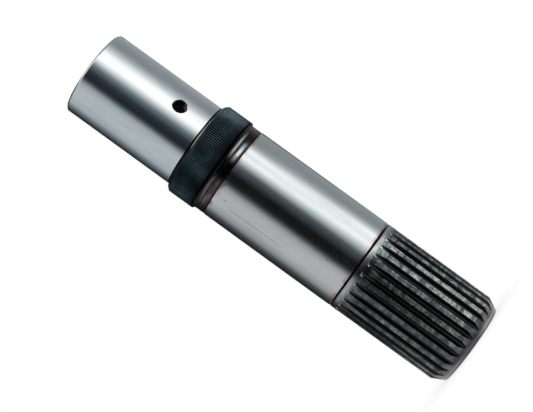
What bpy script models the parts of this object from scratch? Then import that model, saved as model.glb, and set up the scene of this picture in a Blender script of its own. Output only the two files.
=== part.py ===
"""Stator support shaft: one turned steel tube with a knurled press-fit collar and a hobbed involute spline.

The shaft stands on its splined end. Its axis is +Z, the splined end face lies on Z = 0, and the oil hole
faces -Y. Stations along the shaft are measured down from the plain end, as a lathe operator reads them.
"""

import math

import bmesh
import bpy
from mathutils import Matrix, Vector

MM = 0.001

# Lengths of the turned sections, from the plain end down
PLAIN_JOURNAL_LENGTH = 46.9 * MM
COLLAR_LENGTH = 12.5 * MM
NECK_LENGTH = 4.3 * MM
MAIN_JOURNAL_LENGTH = 56.2 * MM
RELIEF_GROOVE_WIDTH = 0.85 * MM
SPLINE_SECTION_LENGTH = 49.55 * MM

# Radii of the turned sections
PLAIN_JOURNAL_RADIUS = 16.79 * MM
COLLAR_RADIUS = 18.97 * MM
NECK_RADIUS = 18.13 * MM
MAIN_JOURNAL_RADIUS = 18.25 * MM
BORE_RADIUS = 12.70 * MM
BUSHING_SEAT_STEP = 0.75 * MM
BUSHING_SEAT_DEPTH = 20.0 * MM

# Chamfers, grooves and fillets
PLAIN_END_CHAMFER = 0.70 * MM
BORE_CHAMFER = 0.50 * MM
EDGE_WALL_SHARE = 0.4
UNDERCUT_WIDTH = 0.55 * MM
UNDERCUT_DEPTH = 0.30 * MM
SHOULDER_FACE_CLEARANCE = 0.05 * MM
SHOULDER_ROUND = 0.35 * MM
COLLAR_TOP_CHAMFER_LENGTH = 1.35 * MM
COLLAR_TOP_CHAMFER_ANGLE = math.radians(42.0)
COLLAR_BOTTOM_CHAMFER = 0.83 * MM
NECK_LINE_DISTANCE = 1.15 * MM
NECK_LINE_WIDTH = 0.35 * MM
NECK_LINE_DEPTH = 0.15 * MM
NECK_GROOVE_WIDTH = 0.50 * MM
NECK_GROOVE_DEPTH = 0.28 * MM
RELIEF_GROOVE_DEPTH = 0.15 * MM
GROOVE_WALL_SLOPE = 0.12 * MM
SPLINE_END_CHAMFER_LENGTH = 4.8 * MM
SPLINE_END_CHAMFER_ANGLE = math.radians(28.0)
RIM_ROUND = 0.50 * MM

# The involute spline: teeth, module (pitch diameter over teeth) and flank angle on the pitch circle.
# Its tips are turned down to the main journal's size, which leaves a short addendum.
SPLINE_TEETH = 27
SPLINE_MODULE = 1.325 * MM
PRESSURE_ANGLE = math.radians(30.0)
SPLINE_ADDENDUM = 0.250 * SPLINE_MODULE
SPLINE_DEDENDUM = 0.875 * SPLINE_MODULE
TOOTH_THICKNESS = math.pi * SPLINE_MODULE / 2
ROOT_FILLET = 0.25 * MM
SPLINE_RUNOUT_START = 1.9 * MM
HOB_RADIUS = 18.0 * MM
TOOTH_PHASE = math.radians(-2.8)

# The straight knurl
KNURL_GROOVES = 140
KNURL_DEPTH = 0.28 * MM
KNURL_CREST_WIDTH = 0.14 * MM

# The radial oil hole
OIL_HOLE_RADIUS = 2.75 * MM
OIL_HOLE_STATION = 34.9 * MM
OIL_HOLE_COUNTERSINK = 0.30 * MM
OIL_HOLE_DIRECTION = math.radians(-90.0)

# Facets, and how far a cutter reaches past the surface that it cuts
LATHE_STEPS = 84
ROUND_STEPS = 3
HOLE_STEPS = 36
FLANK_STEPS = 3
RUNOUT_STEPS = 5
SEAM_MERGE_DISTANCE = 0.01 * MM
SHARP_EDGE_ANGLE = math.radians(28.0)
CUTTER_OVERRUN = 0.6 * MM
RUNOUT_OVERRUN = 0.3 * MM
KNURL_OVERRUN = 0.03 * MM

# The finish of the shaft
STEEL_COLOUR = (0.56, 0.58, 0.60)
STEEL_ROUGHNESS = 0.24

# Values that follow from the sizes above
COLLAR_BOTTOM = PLAIN_JOURNAL_LENGTH + COLLAR_LENGTH
NECK_BOTTOM = COLLAR_BOTTOM + NECK_LENGTH
MAIN_JOURNAL_BOTTOM = NECK_BOTTOM + MAIN_JOURNAL_LENGTH
SPLINE_TOP = MAIN_JOURNAL_BOTTOM + RELIEF_GROOVE_WIDTH
LENGTH = SPLINE_TOP + SPLINE_SECTION_LENGTH
BUSHING_SEAT_RADIUS = BORE_RADIUS + BUSHING_SEAT_STEP
PITCH_RADIUS = SPLINE_TEETH * SPLINE_MODULE / 2
TIP_RADIUS = PITCH_RADIUS + SPLINE_ADDENDUM
ROOT_RADIUS = PITCH_RADIUS - SPLINE_DEDENDUM
BASE_RADIUS = PITCH_RADIUS * math.cos(PRESSURE_ANGLE)
SHOULDER_RADIUS = COLLAR_RADIUS - COLLAR_TOP_CHAMFER_LENGTH * math.tan(COLLAR_TOP_CHAMFER_ANGLE)
RIM_RADIUS = TIP_RADIUS - SPLINE_END_CHAMFER_LENGTH * math.tan(SPLINE_END_CHAMFER_ANGLE)


def clear_scene():
    for item in list(bpy.data.objects):
        bpy.data.objects.remove(item, do_unlink=True)


def make_ground_steel():
    material = bpy.data.materials.new("ground_steel")
    material.use_nodes = True
    shader = material.node_tree.nodes["Principled BSDF"]
    shader.inputs["Base Color"].default_value = (*STEEL_COLOUR, 1.0)
    shader.inputs["Metallic"].default_value = 1.0
    shader.inputs["Roughness"].default_value = STEEL_ROUGHNESS
    material.diffuse_color = (*STEEL_COLOUR, 1.0)
    return material


def link_object(name, mesh):
    item = bpy.data.objects.new(name, mesh)
    bpy.context.scene.collection.objects.link(item)
    return item


def mesh_from_bmesh(name, bm):
    mesh = bpy.data.meshes.new(name)
    bm.to_mesh(mesh)
    bm.free()
    return mesh


def make_cutter(name, bm):
    """A closed body, faces outwards, that is only ever subtracted."""
    bmesh.ops.recalc_face_normals(bm, faces=bm.faces)
    cutter = link_object(name, mesh_from_bmesh(name, bm))
    cutter.hide_render = True
    cutter.display_type = "WIRE"
    return cutter


def skin_loops(bm, rings):
    """Faces between neighbouring closed rings of vertices, and a cap on each end."""
    for lower, upper in zip(rings, rings[1:]):
        for index in range(len(lower)):
            after = (index + 1) % len(lower)
            bm.faces.new((lower[index], lower[after], upper[after], upper[index]))
    bm.faces.new(rings[0])
    bm.faces.new(rings[-1])


def groove_outline(top, bottom, radius_above, radius_below, floor_radius):
    """A turned groove as (radius, station) points, its walls leaning in by the slope of the tool."""
    return [
        (radius_above, top),
        (floor_radius, top + GROOVE_WALL_SLOPE),
        (floor_radius, bottom - GROOVE_WALL_SLOPE),
        (radius_below, bottom),
    ]


def edge_for_wall(size, wall):
    """The size of a chamfer or a rounding, or less where it would meet the one on the wall's other side."""
    return min(size, EDGE_WALL_SHARE * wall)


def rounded_corner(start, corner, end):
    """A curve from start to end that leaves and meets the two lines through the corner without a kink."""
    points = []
    for step in range(ROUND_STEPS + 1):
        part = step / ROUND_STEPS
        shares = ((1 - part) ** 2, 2 * part * (1 - part), part**2)
        radius = sum(share * point[0] for share, point in zip(shares, (start, corner, end)))
        station = sum(share * point[1] for share, point in zip(shares, (start, corner, end)))
        points.append((radius, station))
    return points


def shoulder_outline():
    """The flat shoulder face, its outer edge rounded over into the collar's long top chamfer."""
    corner = (SHOULDER_RADIUS, PLAIN_JOURNAL_LENGTH)
    on_face = (SHOULDER_RADIUS - SHOULDER_ROUND, PLAIN_JOURNAL_LENGTH)
    on_chamfer = (
        SHOULDER_RADIUS + SHOULDER_ROUND * math.sin(COLLAR_TOP_CHAMFER_ANGLE),
        PLAIN_JOURNAL_LENGTH + SHOULDER_ROUND * math.cos(COLLAR_TOP_CHAMFER_ANGLE),
    )
    return rounded_corner(on_face, corner, on_chamfer)


def spline_end_outline():
    """The end chamfer, its edge rounded over into the end face."""
    rim_round = edge_for_wall(RIM_ROUND, RIM_RADIUS - BORE_RADIUS)
    corner = (RIM_RADIUS, LENGTH)
    on_chamfer = (
        RIM_RADIUS + rim_round * math.sin(SPLINE_END_CHAMFER_ANGLE),
        LENGTH - rim_round * math.cos(SPLINE_END_CHAMFER_ANGLE),
    )
    on_face = (RIM_RADIUS - rim_round, LENGTH)
    chamfer_top = (TIP_RADIUS, LENGTH - SPLINE_END_CHAMFER_LENGTH)
    return [chamfer_top, *rounded_corner(on_chamfer, corner, on_face)]


def outer_outline():
    """The outside of the shaft from the plain end down, as (radius, station) points."""
    end_chamfer = edge_for_wall(PLAIN_END_CHAMFER, PLAIN_JOURNAL_RADIUS - BUSHING_SEAT_RADIUS)
    neck_line_top = COLLAR_BOTTOM + NECK_LINE_DISTANCE
    return [
        (PLAIN_JOURNAL_RADIUS - end_chamfer, 0.0),
        (PLAIN_JOURNAL_RADIUS, end_chamfer),
        *groove_outline(
            PLAIN_JOURNAL_LENGTH - UNDERCUT_WIDTH,
            PLAIN_JOURNAL_LENGTH,
            PLAIN_JOURNAL_RADIUS,
            PLAIN_JOURNAL_RADIUS + SHOULDER_FACE_CLEARANCE,
            PLAIN_JOURNAL_RADIUS - UNDERCUT_DEPTH,
        ),
        *shoulder_outline(),
        (COLLAR_RADIUS, PLAIN_JOURNAL_LENGTH + COLLAR_TOP_CHAMFER_LENGTH),
        (COLLAR_RADIUS, COLLAR_BOTTOM - COLLAR_BOTTOM_CHAMFER),
        (NECK_RADIUS, COLLAR_BOTTOM),
        *groove_outline(
            neck_line_top,
            neck_line_top + NECK_LINE_WIDTH,
            NECK_RADIUS,
            NECK_RADIUS,
            NECK_RADIUS - NECK_LINE_DEPTH,
        ),
        *groove_outline(
            NECK_BOTTOM - NECK_GROOVE_WIDTH,
            NECK_BOTTOM,
            NECK_RADIUS,
            MAIN_JOURNAL_RADIUS,
            NECK_RADIUS - NECK_GROOVE_DEPTH,
        ),
        *groove_outline(
            MAIN_JOURNAL_BOTTOM,
            SPLINE_TOP,
            MAIN_JOURNAL_RADIUS,
            TIP_RADIUS,
            MAIN_JOURNAL_RADIUS - RELIEF_GROOVE_DEPTH,
        ),
        *spline_end_outline(),
    ]


def bore_outline():
    """The bore from the splined end up, with the bushing's seat at the plain end."""
    spline_chamfer = edge_for_wall(BORE_CHAMFER, RIM_RADIUS - BORE_RADIUS)
    plain_chamfer = edge_for_wall(BORE_CHAMFER, PLAIN_JOURNAL_RADIUS - BUSHING_SEAT_RADIUS)
    return [
        (BORE_RADIUS + spline_chamfer, LENGTH),
        (BORE_RADIUS, LENGTH - spline_chamfer),
        (BORE_RADIUS, BUSHING_SEAT_DEPTH),
        (BUSHING_SEAT_RADIUS, BUSHING_SEAT_DEPTH),
        (BUSHING_SEAT_RADIUS, plain_chamfer),
        (BUSHING_SEAT_RADIUS + plain_chamfer, 0.0),
    ]


def make_turned_blank(name):
    """The lathe work: a closed outline at +X, turned round Z by a Screw modifier."""
    bm = bmesh.new()
    outline = outer_outline() + bore_outline()
    corners = [bm.verts.new((radius, 0.0, LENGTH - station)) for radius, station in outline]
    for here, after in zip(corners, corners[1:] + corners[:1]):
        bm.edges.new((here, after))
    blank = link_object(name, mesh_from_bmesh(name, bm))
    turning = blank.modifiers.new("turning", "SCREW")
    turning.axis = "Z"
    turning.angle = math.tau
    turning.steps = LATHE_STEPS
    turning.render_steps = LATHE_STEPS
    turning.use_merge_vertices = True
    turning.merge_threshold = SEAM_MERGE_DISTANCE
    return blank


def involute(angle):
    return math.tan(angle) - angle


def half_tooth_angle(radius):
    """Half the angle that a tooth fills at this radius, from its thickness on the pitch circle."""
    flank = math.acos(min(1.0, BASE_RADIUS / radius))
    return TOOTH_THICKNESS / (2 * PITCH_RADIUS) + involute(PRESSURE_ANGLE) - involute(flank)


def hob_profile():
    """Half of the space between two teeth, from outside the tips down to the root.

    Points are (across, radius), with the space's middle at across = 0.
    """
    half_pitch = math.pi / SPLINE_TEETH
    fillet_top = ROOT_RADIUS + ROOT_FILLET
    outside = TIP_RADIUS + CUTTER_OVERRUN
    points = []
    for step in range(FLANK_STEPS + 1):
        radius = outside + (fillet_top - outside) * step / FLANK_STEPS
        half_space = half_pitch - half_tooth_angle(radius)
        points.append((radius * math.sin(half_space), radius * math.cos(half_space)))
    across = points[-1][0]
    points.append((across - ROOT_FILLET, ROOT_RADIUS))
    return points


def runout_sections():
    """(height Z, radial lift) of the hob's profile, from below the end face to where it leaves the blank.

    The hob's own radius lifts the profile along a circular arc, which leaves the pointed run-outs.
    """
    depth = TIP_RADIUS - ROOT_RADIUS
    leaving_lift = depth + RUNOUT_OVERRUN
    cut_length = math.sqrt(HOB_RADIUS**2 - (HOB_RADIUS - depth) ** 2)
    arc_length = math.sqrt(HOB_RADIUS**2 - (HOB_RADIUS - leaving_lift) ** 2)
    full_depth_height = LENGTH - SPLINE_TOP - SPLINE_RUNOUT_START - cut_length
    sections = [(-CUTTER_OVERRUN, 0.0)]
    for step in range(RUNOUT_STEPS + 1):
        along = arc_length * step / RUNOUT_STEPS
        lift = HOB_RADIUS - math.sqrt(HOB_RADIUS**2 - along**2)
        sections.append((full_depth_height + along, lift))
    return sections


def make_spline_cutter():
    """The spaces between the teeth: one hob profile carried along the run-out path, for every tooth."""
    right_side = hob_profile()
    profile = right_side + [(-across, radius) for across, radius in reversed(right_side)]
    bm = bmesh.new()
    for tooth in range(SPLINE_TEETH):
        turn = OIL_HOLE_DIRECTION + TOOTH_PHASE + (tooth + 0.5) * math.tau / SPLINE_TEETH
        place = Matrix.Rotation(turn, 4, "Z")
        rings = []
        for height, lift in runout_sections():
            ring = [place @ Vector((radius + lift, across, height)) for across, radius in profile]
            rings.append([bm.verts.new(point) for point in ring])
        skin_loops(bm, rings)
    return make_cutter("spline_cutter", bm)


def make_knurl_cutter():
    """Straight V grooves right across the collar, so that they run out through its chamfers."""
    pitch = math.tau * COLLAR_RADIUS / KNURL_GROOVES
    half_width = (pitch - KNURL_CREST_WIDTH) / 2
    flare = half_width / KNURL_DEPTH
    floor = COLLAR_RADIUS - KNURL_DEPTH
    outside = COLLAR_RADIUS + KNURL_OVERRUN
    outer_half_width = flare * (outside - floor)
    low = LENGTH - COLLAR_BOTTOM
    high = LENGTH - PLAIN_JOURNAL_LENGTH
    bm = bmesh.new()
    for groove in range(KNURL_GROOVES):
        place = Matrix.Rotation((groove + 0.5) * math.tau / KNURL_GROOVES, 4, "Z")
        rings = []
        for height in (low, high):
            corners = ((floor, 0.0), (outside, outer_half_width), (outside, -outer_half_width))
            ring = [place @ Vector((radius, across, height)) for radius, across in corners]
            rings.append([bm.verts.new(point) for point in ring])
        skin_loops(bm, rings)
    return make_cutter("knurl_cutter", bm)


def make_drill_cutter():
    """The oil hole's drill and its countersink as one turned body, laid along the hole's direction."""
    inside = BORE_RADIUS - OIL_HOLE_RADIUS
    rim = PLAIN_JOURNAL_RADIUS - OIL_HOLE_COUNTERSINK
    outside = PLAIN_JOURNAL_RADIUS + CUTTER_OVERRUN
    mouth_radius = OIL_HOLE_RADIUS + outside - rim
    lay_down = Matrix.Rotation(OIL_HOLE_DIRECTION, 4, "Z") @ Matrix.Rotation(math.pi / 2, 4, "Y")
    place = Matrix.Translation((0.0, 0.0, LENGTH - OIL_HOLE_STATION)) @ lay_down
    bm = bmesh.new()
    rings = []
    for radius, reach in ((OIL_HOLE_RADIUS, inside), (OIL_HOLE_RADIUS, rim), (mouth_radius, outside)):
        made = bmesh.ops.create_circle(
            bm,
            segments=HOLE_STEPS,
            radius=radius,
            matrix=place @ Matrix.Translation((0.0, 0.0, reach)),
        )
        rings.append(made["verts"])
    skin_loops(bm, rings)
    return make_cutter("oil_hole_cutter", bm)


def subtract(body, cutter):
    cut = body.modifiers.new(cutter.name, "BOOLEAN")
    cut.operation = "DIFFERENCE"
    cut.solver = "EXACT"
    cut.object = cutter


def apply_modifiers(item):
    """Keeps the evaluated mesh in place of the modifier stack, so that its edges can be marked."""
    bpy.context.view_layer.update()
    graph = bpy.context.evaluated_depsgraph_get()
    item.data = bpy.data.meshes.new_from_object(item.evaluated_get(graph))
    item.modifiers.clear()


def shade_turned(item):
    item.data.shade_smooth()
    item.data.set_sharp_from_angle(angle=SHARP_EDGE_ANGLE)


def make_shaft():
    shaft = make_turned_blank("stator_support_shaft")
    cutters = (make_spline_cutter(), make_knurl_cutter(), make_drill_cutter())
    for cutter in cutters:
        subtract(shaft, cutter)
    apply_modifiers(shaft)
    for cutter in cutters:
        bpy.data.objects.remove(cutter, do_unlink=True)
    shade_turned(shaft)
    shaft.data.materials.clear()
    shaft.data.materials.append(make_ground_steel())
    return shaft


def main():
    clear_scene()
    make_shaft()


main()
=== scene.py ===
import math

import bpy
import numpy as np
from mathutils import Matrix, Vector


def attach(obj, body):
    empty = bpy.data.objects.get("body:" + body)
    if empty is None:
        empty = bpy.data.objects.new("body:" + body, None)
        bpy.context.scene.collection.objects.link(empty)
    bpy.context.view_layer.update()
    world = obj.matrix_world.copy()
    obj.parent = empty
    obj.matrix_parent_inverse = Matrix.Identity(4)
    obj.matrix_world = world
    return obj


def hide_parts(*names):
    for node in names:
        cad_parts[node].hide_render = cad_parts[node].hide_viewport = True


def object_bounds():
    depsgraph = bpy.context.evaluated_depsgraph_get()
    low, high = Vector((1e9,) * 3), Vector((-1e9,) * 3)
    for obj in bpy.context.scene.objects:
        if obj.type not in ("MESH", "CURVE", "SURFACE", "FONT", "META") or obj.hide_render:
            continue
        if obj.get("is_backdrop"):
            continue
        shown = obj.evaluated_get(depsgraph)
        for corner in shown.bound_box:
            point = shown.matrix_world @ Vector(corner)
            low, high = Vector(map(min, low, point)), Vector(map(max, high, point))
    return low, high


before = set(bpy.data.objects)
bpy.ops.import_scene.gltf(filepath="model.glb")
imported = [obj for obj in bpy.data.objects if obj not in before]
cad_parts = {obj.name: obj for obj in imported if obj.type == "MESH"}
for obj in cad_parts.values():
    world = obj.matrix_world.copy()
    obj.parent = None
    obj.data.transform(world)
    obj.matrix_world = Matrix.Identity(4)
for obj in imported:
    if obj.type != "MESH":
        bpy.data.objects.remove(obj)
cad_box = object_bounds()

# The shaft's sizes are millimetres; the tent, the floor and the camera are in metres. Stations are
# measured down from the plain end, so that a point's height is LENGTH - station. Places round the
# axis are degrees, with +X at 0.
MM = 0.001
LENGTH = 170.30

PLAIN_JOURNAL_RADIUS = 16.79
UNDERCUT_RADIUS = 16.49
SHOULDER = 46.90
SHOULDER_RADIUS = 17.754
TOP_CHAMFER_SLOPE = math.tan(math.radians(42.0))
COLLAR_RADIUS = 18.97
COLLAR_BOTTOM = 59.40
BOTTOM_CHAMFER_SLOPE = 0.84 / 0.83
NECK_RADIUS = 18.13
NECK_GROOVE_RADIUS = 17.98
NECK_END_GROOVE_RADIUS = 17.85
MAIN_JOURNAL_RADIUS = 18.25
RELIEF_GROOVE_RADIUS = 18.10
SPLINE_TOP = 120.75
BORE_RADIUS = 12.70
BUSHING_SEAT_RADIUS = 13.45
BUSHING_SEAT_DEPTH = 20.0

OIL_HOLE_RADIUS = 2.75
OIL_HOLE_STATION = 34.90
OIL_HOLE_ANGLE = -90.0
OIL_HOLE_COUNTERSINK = 0.30

KNURL_GROOVES = 140
KNURL_DEPTH = 0.28
KNURL_CREST_SHARE = 0.165
KNURL_COLUMNS = np.array([0.0, 0.083, 0.22, 0.36, 0.5, 0.64, 0.78, 0.917])

SPLINE_TEETH = 27
SPLINE_MODULE = 1.325
PRESSURE_ANGLE = math.radians(30.0)
PITCH_RADIUS = SPLINE_TEETH * SPLINE_MODULE / 2
TIP_RADIUS = PITCH_RADIUS + 0.250 * SPLINE_MODULE
ROOT_RADIUS = PITCH_RADIUS - 0.875 * SPLINE_MODULE
BASE_RADIUS = PITCH_RADIUS * math.cos(PRESSURE_ANGLE)
ROOT_FILLET = 0.25
HOB_RADIUS = 18.0
GAP_START = SPLINE_TOP + 1.9
TOOTH_ANGLE = OIL_HOLE_ANGLE - 2.8
CONE_START = 165.50
CONE_SLOPE = math.tan(math.radians(28.0))

# The burrs where the hob breaks through, and how far their middles lie past a gap's start and edge
BURR_HEIGHT = 0.13
BURR_LENGTH = 0.60
BURR_WIDTH = 0.20
BURR_PAST_START = 0.30
BURR_PAST_EDGE = 0.15
# Columns over half a gap and half a land, as shares of their widths
GAP_COLUMNS = np.array(
    [1.0, 0.97, 0.92, 0.84, 0.76, 0.68, 0.6, 0.53, 0.47, 0.41, 0.35, 0.28, 0.2, 0.1, 0.0]
)
LAND_COLUMNS = np.array([1.0, 0.75, 0.45, 0.24, 0.12, 0.04])

# Points in a plain ring, and the oil hole's window in columns and rows
RING = 280
WINDOW = 24

# The material zones, in the order of the materials
GROUND, OXIDE, NECK, SPLINE, TURNED = range(5)

# Rings of the turned outline, as (station, radius)
PLAIN_END = [
    (0.0, 14.02), (0.0, 15.98), (0.06, 16.13), (0.63, 16.73), (0.72, 16.775),
    (0.84, PLAIN_JOURNAL_RADIUS), (1.4, PLAIN_JOURNAL_RADIUS), (14.0, PLAIN_JOURNAL_RADIUS),
]
UNDERCUT_RINGS = [
    *((station, PLAIN_JOURNAL_RADIUS) for station in (42.0, 45.8, 46.15, 46.31)),
    (46.37, 16.75), (46.46, 16.50), (46.52, UNDERCUT_RADIUS), (46.75, UNDERCUT_RADIUS),
    (46.80, 16.53), (46.89, 16.83), (SHOULDER, 16.90), (SHOULDER, 17.30),
]
TOP_CHAMFER_RINGS = [(47.45, 18.249), (47.80, 18.564)]
NECK_RINGS = [
    (59.20, 18.332), (59.38, 18.15), (59.44, NECK_RADIUS), (60.52, NECK_RADIUS), (60.57, 18.11),
    (60.67, NECK_GROOVE_RADIUS), (60.78, NECK_GROOVE_RADIUS), (60.88, 18.11), (60.93, NECK_RADIUS),
    (63.16, NECK_RADIUS), (63.22, 18.10), (63.32, NECK_END_GROOVE_RADIUS),
    (63.58, NECK_END_GROOVE_RADIUS), (63.68, 18.21),
    *((station, MAIN_JOURNAL_RADIUS) for station in (63.73, 63.77, 63.95, 64.8)),
]
MAIN_JOURNAL_RINGS = [
    *((station, MAIN_JOURNAL_RADIUS) for station in (78.0, 98.0, 118.6, 119.6, 119.82, 119.85)),
    (119.91, 18.23), (120.02, RELIEF_GROOVE_RADIUS), (120.63, RELIEF_GROOVE_RADIUS),
    (120.73, 18.19), (120.79, TIP_RADIUS), (121.4, TIP_RADIUS), (122.15, TIP_RADIUS),
]
END_CONE_RINGS = [
    (168.60, TIP_RADIUS - 3.10 * CONE_SLOPE), (169.30, TIP_RADIUS - 3.80 * CONE_SLOPE)
]
SPLINED_END = [
    (LENGTH, 14.2), (LENGTH, 13.24), (170.26, 13.16), (169.84, 12.74), (169.72, BORE_RADIUS),
]
BORE_RINGS = [(150.0, BORE_RADIUS), (100.0, BORE_RADIUS), (60.0, BORE_RADIUS)]
BUSHING_SEAT_RINGS = [
    (24.0, BORE_RADIUS), (20.04, BORE_RADIUS), (BUSHING_SEAT_DEPTH, 12.74),
    (BUSHING_SEAT_DEPTH, 13.43), (19.9, BUSHING_SEAT_RADIUS), (4.0, BUSHING_SEAT_RADIUS),
    (0.54, BUSHING_SEAT_RADIUS), (0.46, 13.49), (0.04, 13.91),
]
# Stations of the rings over the knurl and over the teeth, closer where the shape turns
KNURL_STATIONS = [
    47.85, 47.93, 48.00, 48.07, 48.14, 48.20, 48.26, 48.34, 48.60,
    58.30, 58.50, 58.57, 58.63, 58.69, 58.75, 58.81, 58.87, 58.95,
]
TEETH_STATIONS = [
    122.20, 122.45, 122.58, 122.66, 122.76, 122.88, 123.04, 123.26, 123.55, 123.9, 124.35, 124.9,
    125.6, 126.5, 127.7, 129.83, 134.0, 141.0, 148.0, 155.0, 161.0, 165.1, 165.36, 165.46, 165.54,
    165.7, 166.0, 166.4, 166.8, 167.2, 167.6, 167.9, 168.1, 168.22, 168.32, 168.45,
]
# Where the columns over the teeth go back to even steps, and how sharp an edge is shaded as one
EVEN_AGAIN = 168.25
SHARP_ANGLE = 34.0

# How far the edges between two surfaces are rounded over
CHAMFER_EDGE, KNURL_EDGE, GAP_EDGE, CONE_EDGE = 0.03, 0.006, 0.012, 0.02


class Shell:
    """Rings of points and the faces between them, gathered as whole arrays and made one mesh.

    Each point also keeps its depth, how far it lies below the turned surface that was cut.
    """

    def __init__(self):
        """An empty shell."""
        self.points = []
        self.depths = []
        self.faces = []
        self.zones = []
        self.count = 0

    def ring(self, angles, radius, station, depth=0.0):
        """Points at radius * (cos, sin) of each angle in radians, at height LENGTH - station."""
        angles, radius, station = np.broadcast_arrays(angles, radius, station)
        across = radius * np.cos(angles), radius * np.sin(angles)
        return self.add(np.stack([*across, LENGTH - station], axis=1), depth)

    def add(self, points, depth=0.0):
        """Keeps the points and gives their numbers."""
        numbers = np.arange(self.count, self.count + len(points))
        self.points.append(points)
        self.depths.append(np.broadcast_to(depth, len(points)))
        self.count += len(points)
        return numbers

    def face(self, corners, zone):
        """Keeps one face per row of corners; a triangle's row repeats its last corner."""
        if corners.shape[1] == 3:
            corners = np.concatenate([corners, corners[:, 2:]], axis=1)
        self.faces.append(corners)
        self.zones.append(np.full(len(corners), zone))

    def skin(self, rings, zone, left_out=None):
        """Four-sided faces from each ring to the next down the surface; left_out masks columns."""
        for first, second in zip(rings, rings[1:]):
            quads = np.stack([first, second, np.roll(second, -1), np.roll(first, -1)], axis=1)
            self.face(quads if left_out is None else quads[~left_out], zone)

    def bridge(self, first, second, zone):
        """Joins two rings of any counts, the first one up the surface, by a triangle for each step.

        A step of one ring takes its third corner from the other ring: the point whose own steps
        have their middles on either side of this step's middle, going by angle.
        """
        places = np.concatenate(self.points)
        turns, middles = [], []
        for ring in (first, second):
            angle = np.unwrap(np.arctan2(places[ring, 1], places[ring, 0]))
            after = np.append(angle[1:], angle[0] + math.tau)
            turns.append(ring)
            middles.append((angle + after) / 2 % math.tau)
        for own, other in ((0, 1), (1, 0)):
            order = np.argsort(middles[other])
            tie = "left" if own == 0 else "right"
            found = np.searchsorted(middles[other][order], middles[own], tie) - 1
            third = turns[other][(order[found] + 1) % len(order)]
            here, after = turns[own], np.roll(turns[own], -1)
            row = (here, third, after) if own == 0 else (here, after, third)
            self.face(np.stack(row, axis=1), zone)

    def mesh(self, name):
        """Drops unused points, then makes the mesh, in metres."""
        points = np.concatenate(self.points) * MM
        depths = np.concatenate(self.depths)
        faces = np.concatenate(self.faces)
        zones = np.concatenate(self.zones)
        used, faces_of = np.unique(faces, return_inverse=True)
        points, depths, faces = points[used], depths[used], faces_of.reshape(faces.shape)
        four = faces[:, 2] != faces[:, 3]
        sizes = np.where(four, 4, 3)
        keep = np.ones(faces.shape, bool)
        keep[:, 3] = four
        starts = np.concatenate([[0], np.cumsum(sizes)[:-1]])
        mesh = bpy.data.meshes.new(name)
        mesh.vertices.add(len(points))
        mesh.vertices.foreach_set("co", points.astype(np.float32).ravel())
        mesh.loops.add(int(sizes.sum()))
        mesh.loops.foreach_set("vertex_index", faces[keep].astype(np.int32))
        mesh.polygons.add(len(faces))
        mesh.polygons.foreach_set("loop_start", starts.astype(np.int32))
        mesh.polygons.foreach_set("loop_total", sizes.astype(np.int32))
        mesh.polygons.foreach_set("material_index", zones.astype(np.int32))
        mesh.update(calc_edges=True)
        depth = mesh.attributes.new("depth", "FLOAT", "POINT")
        depth.data.foreach_set("value", depths.astype(np.float32))
        mesh.validate()
        return mesh


def soft_min(first, second, width):
    """The smaller of two values, rounded where they cross: low - width ln(1 + e^(-gap / width))."""
    low, gap = np.minimum(first, second), np.abs(first - second)
    return low - width * np.log1p(np.exp(-gap / width))


def knurl_row(station):
    """Angles, radii and depths round the collar at one station.

    Flat crests with V grooves between them are cut from the collar's chamfered round: the radius is
    the smaller of the knurl's and the round's.
    """
    angles = (np.arange(KNURL_GROOVES)[:, None] + KNURL_COLUMNS).ravel() * math.tau / KNURL_GROOVES
    from_crest = np.minimum(KNURL_COLUMNS, 1 - KNURL_COLUMNS)
    down = np.clip((from_crest - KNURL_CREST_SHARE / 2) / (0.5 - KNURL_CREST_SHARE / 2), 0, 1)
    knurl = np.tile(COLLAR_RADIUS - KNURL_DEPTH * down, KNURL_GROOVES)
    rise = SHOULDER_RADIUS + (station - SHOULDER) * TOP_CHAMFER_SLOPE
    fall = NECK_RADIUS + (COLLAR_BOTTOM - station) * BOTTOM_CHAMFER_SLOPE
    limit = soft_min(min(rise, fall), COLLAR_RADIUS + 0.01, CHAMFER_EDGE)
    radius = soft_min(knurl, limit, KNURL_EDGE)
    return angles, radius, station, limit - radius


def involute(angle):
    """The involute function: tan(angle) - angle."""
    return np.tan(angle) - angle


def hob_outline(samples=400):
    """Half of the space between two teeth as (across, height) from its middle out past the tips.

    A flat floor, a quarter-round fillet, then the involute flank. Its half-space angle is half the
    pitch less the tooth's half angle, which is thickness / diameter + inv(30 degrees) -
    inv(acos(base / radius)).
    """
    radius = np.linspace(ROOT_RADIUS + ROOT_FILLET, TIP_RADIUS + 2.6, samples)
    half_tooth = SPLINE_MODULE * math.pi / 4 / PITCH_RADIUS + involute(PRESSURE_ANGLE)
    half_tooth = half_tooth - involute(np.arccos(BASE_RADIUS / radius))
    half_space = math.pi / SPLINE_TEETH - half_tooth
    flank = np.stack([radius * np.sin(half_space), radius * np.cos(half_space)], axis=1)
    turn = np.linspace(0, math.pi / 2, 24)[:-1]
    fillet_across = flank[0, 0] - ROOT_FILLET + ROOT_FILLET * np.sin(turn)
    fillet_height = flank[0, 1] - ROOT_FILLET * np.cos(turn)
    floor_across = np.linspace(0, fillet_across[0], 12)[:-1]
    floor_height = np.full(len(floor_across), fillet_height[0])
    floor = np.stack([floor_across, floor_height], axis=1)
    fillet = np.stack([fillet_across, fillet_height], axis=1)
    return np.concatenate([floor, fillet, flank])


def hob_lift(station):
    """How far the hob's path has lifted the cut: 0 at full depth, then R - sqrt(R^2 - along^2)."""
    depth = TIP_RADIUS - ROOT_RADIUS
    run = math.sqrt(HOB_RADIUS**2 - (HOB_RADIUS - depth) ** 2)
    along = np.clip(GAP_START + run - station, 0, HOB_RADIUS * 0.75)
    return HOB_RADIUS - np.sqrt(HOB_RADIUS**2 - along**2)


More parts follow.
